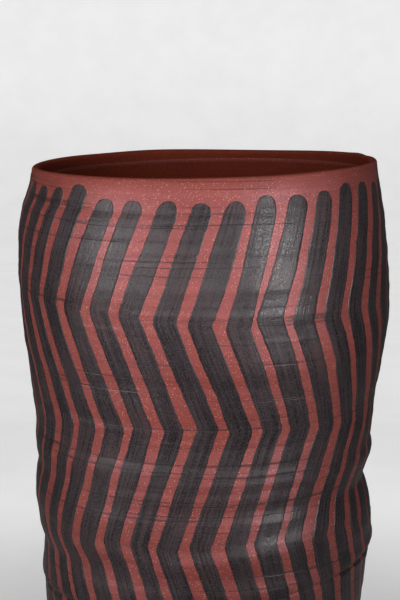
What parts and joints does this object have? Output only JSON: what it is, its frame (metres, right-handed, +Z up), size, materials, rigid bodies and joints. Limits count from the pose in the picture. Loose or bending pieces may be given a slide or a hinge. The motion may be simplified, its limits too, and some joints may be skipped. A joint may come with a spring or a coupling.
{
  "type": "storage jar",
  "caption": "Tall wide-mouthed jar of unglazed red clay with a wobbling wall, rounded lip and flat foot, built in luted rings and brushed with dark zigzag stripes.",
  "frame": {"origin": "middle of the flat underside of the foot", "axes": "+Z up the jar's axis, -Y towards the viewer of the picture, +X to the viewer's right"},
  "size_m": [0.27, 0.272, 0.4326],
  "materials": {
    "red_clay": "unglazed, matt",
    "black_slip": "brushed slip, satin"
  },
  "bodies": {
    "root": {"floor_slab": "red_clay", "foot_ring": "red_clay", "lower_belly_ring": "red_clay", "upper_belly_ring": "red_clay", "shoulder_ring": "red_clay", "lip_coil": "red_clay"}
  },
  "joints": []
}
